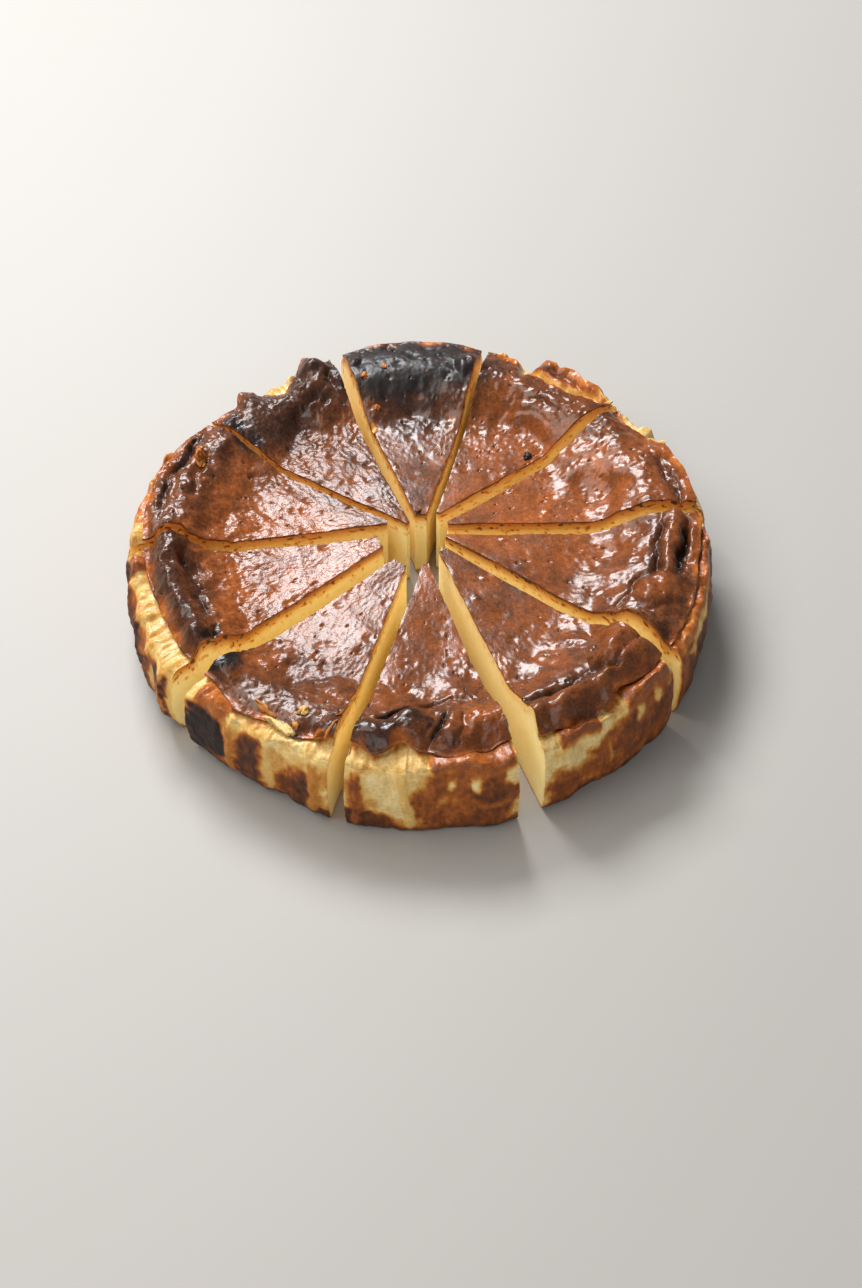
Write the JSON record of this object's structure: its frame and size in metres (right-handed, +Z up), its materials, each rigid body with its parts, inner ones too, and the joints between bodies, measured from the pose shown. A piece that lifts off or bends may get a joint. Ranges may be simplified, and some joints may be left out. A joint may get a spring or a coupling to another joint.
{
  "type": "basque cheesecake",
  "caption": "Round burnt-top cheesecake cut into wedges that stand slightly apart, with a sunken glossy brown top, a folded raised rim and a creased pale and brown side.",
  "frame": {"origin": "on the base plane, under the middle of the round", "axes": "+Z up, +Y from the middle towards slice_01 at the back of the picture, +X to the picture's right"},
  "size_m": [0.2391, 0.2342, 0.0475],
  "materials": {
    "baked_cheesecake": "glossy browned crust over smooth yellow custard, pale and brown paper-creased side"
  },
  "bodies": {
    "root": {"slice_01": "baked_cheesecake", "slice_02": "baked_cheesecake", "slice_03": "baked_cheesecake", "slice_04": "baked_cheesecake", "slice_05": "baked_cheesecake", "slice_06": "baked_cheesecake", "slice_07": "baked_cheesecake", "slice_08": "baked_cheesecake", "slice_09": "baked_cheesecake", "slice_10": "baked_cheesecake"}
  },
  "joints": []
}
